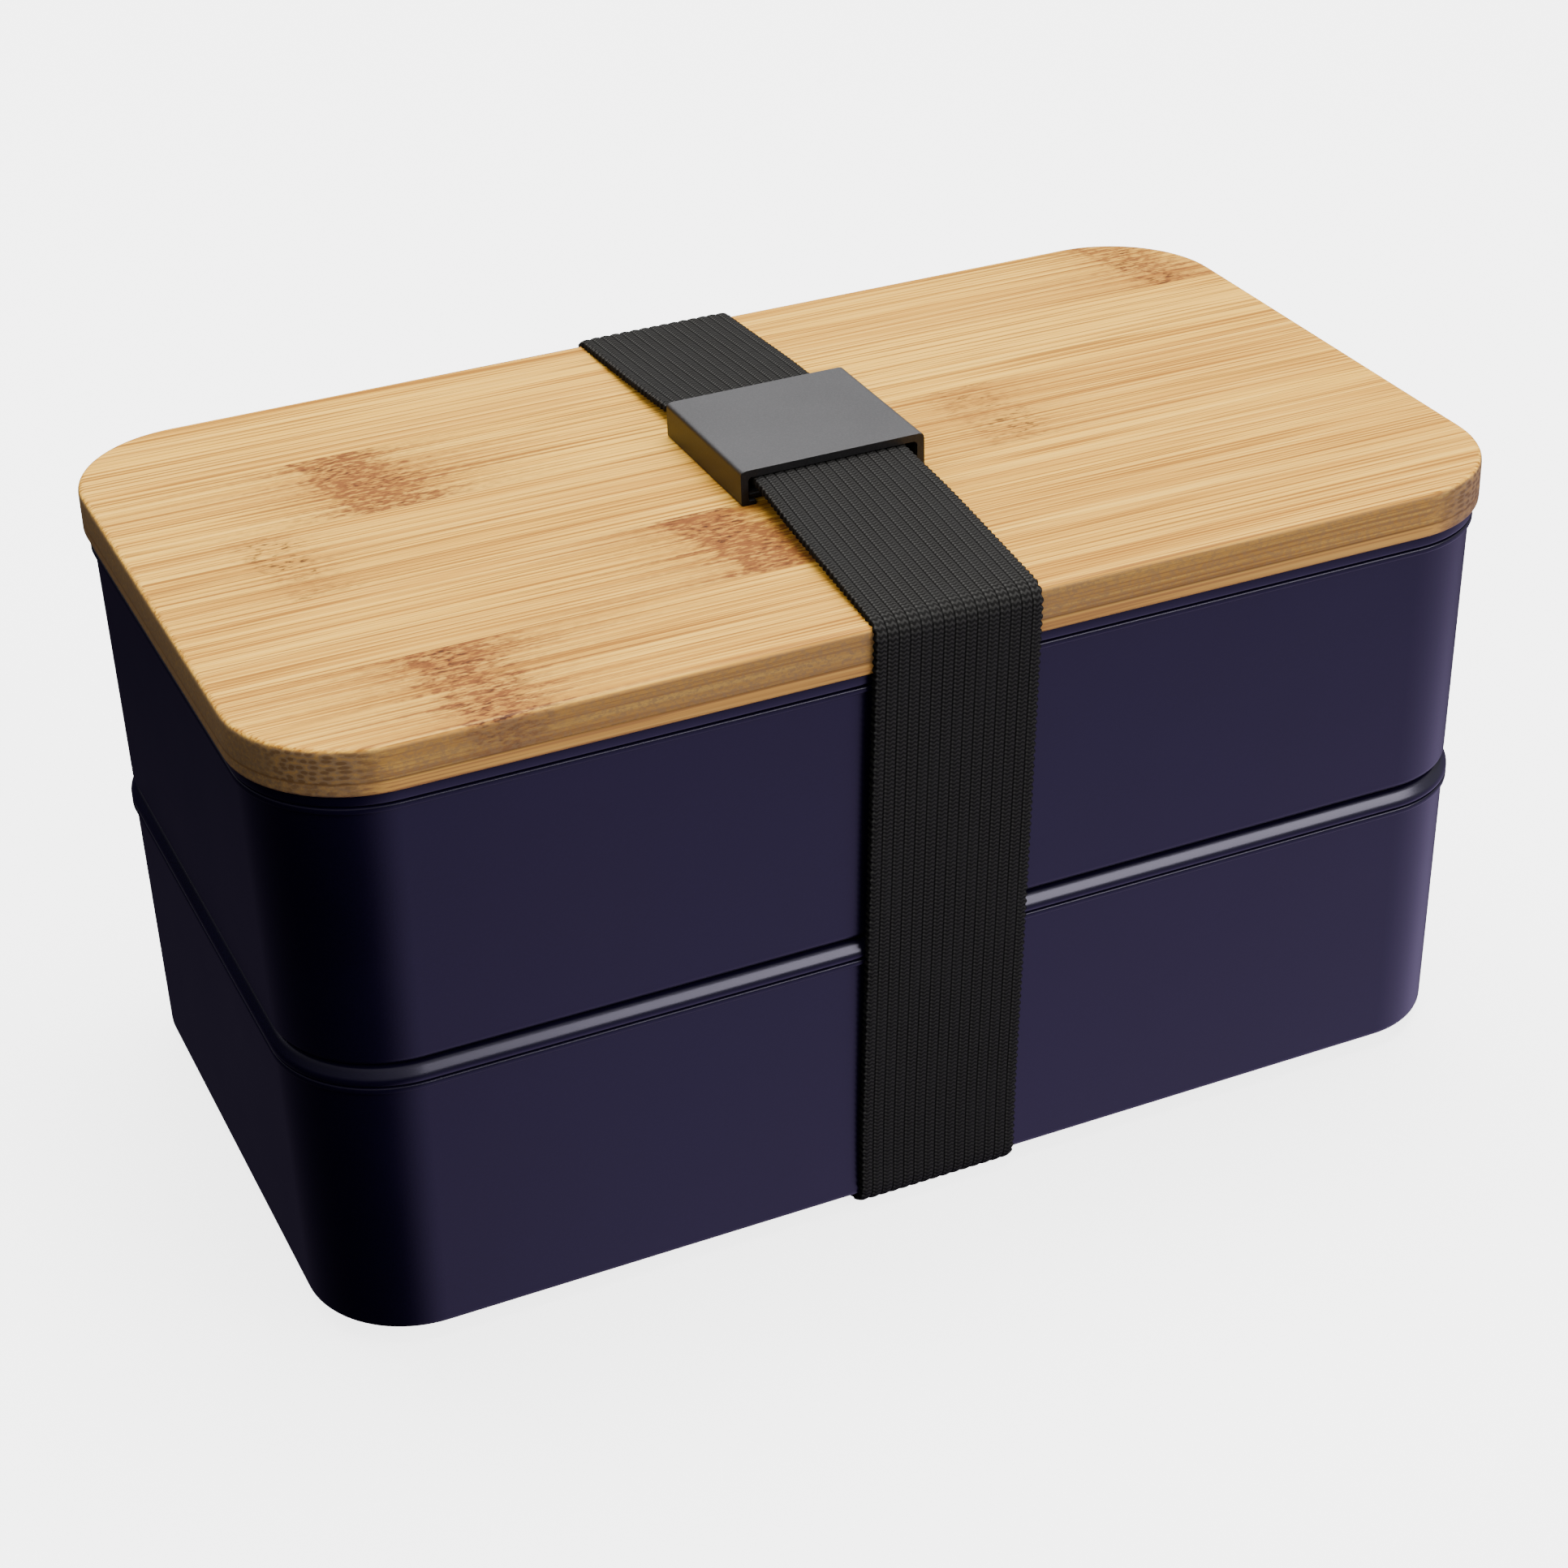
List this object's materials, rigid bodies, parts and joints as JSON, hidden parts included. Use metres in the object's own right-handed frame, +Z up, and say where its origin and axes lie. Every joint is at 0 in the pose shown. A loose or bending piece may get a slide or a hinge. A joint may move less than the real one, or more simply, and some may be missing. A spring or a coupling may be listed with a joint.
{
  "type": "bento lunch box",
  "caption": "Stacking lunch box: plastic tiers with a sealing lid between them, a glued bamboo top lid, and an elastic band with a sleeve buckle holding the stack shut.",
  "frame": {"origin": "on the floor under the middle of the box, in the plane of the underside of the elastic band's bottom run, on which the box stands", "axes": "+Z up; +X along the long side of the box; -Y towards the long side that faces the viewer, over which the front end of the band comes down"},
  "size_m": [0.185, 0.1076, 0.1003],
  "materials": {
    "bamboo": "sanded, lightly oiled bamboo",
    "bamboo_light": "sanded, lightly oiled bamboo, paler layer",
    "tier_plastic": "satin moulded polypropylene, dark navy",
    "lid_plastic": "slightly glossy moulded polypropylene, dark navy",
    "silicone": "soft silicone, milky",
    "elastic": "ribbed woven elastic webbing, nearly black",
    "buckle_plastic": "fine-textured moulded plastic, dark grey"
  },
  "bodies": {
    "lower_tier": {"lower_tier": "tier_plastic", "band_bottom": "elastic", "band_front_lower": "elastic", "band_back_lower": "elastic"},
    "middle_lid": {"middle_lid": "lid_plastic", "middle_lid_seal": "silicone", "band_front_middle": "elastic", "band_back_middle": "elastic"},
    "upper_tier": {"upper_tier": "tier_plastic", "band_front_upper": "elastic", "band_back_upper": "elastic"},
    "top_lid": {"bamboo_strip_1": "bamboo", "bamboo_strip_2": "bamboo", "bamboo_strip_3": "bamboo", "bamboo_strip_4": "bamboo", "bamboo_strip_5": "bamboo", "bamboo_under_layer": "bamboo_light", "lid_base": "lid_plastic", "lid_seal": "silicone", "buckle_cover": "buckle_plastic", "buckle_base": "buckle_plastic", "band_front_end": "elastic", "band_back_end": "elastic"}
  },
  "joints": [
    {"name": "middle_lid_lift", "type": "slide", "parent": "lower_tier", "child": "middle_lid", "axis": [0, 0, 1], "range_m": [0, 0.03], "stiffness_N_per_m": 60, "springref_m": -0.05, "deforming": ["band_front_lower", "band_back_lower"]},
    {"name": "upper_tier_lift", "type": "slide", "parent": "middle_lid", "child": "upper_tier", "axis": [0, 0, 1], "range_m": [0, 0.03], "stiffness_N_per_m": 60, "springref_m": -0.05, "deforming": ["band_front_middle", "band_back_middle"]},
    {"name": "top_lid_lift", "type": "slide", "parent": "upper_tier", "child": "top_lid", "axis": [0, 0, 1], "range_m": [0, 0.03], "stiffness_N_per_m": 60, "springref_m": -0.05, "deforming": ["band_front_upper", "band_back_upper"]}
  ]
}
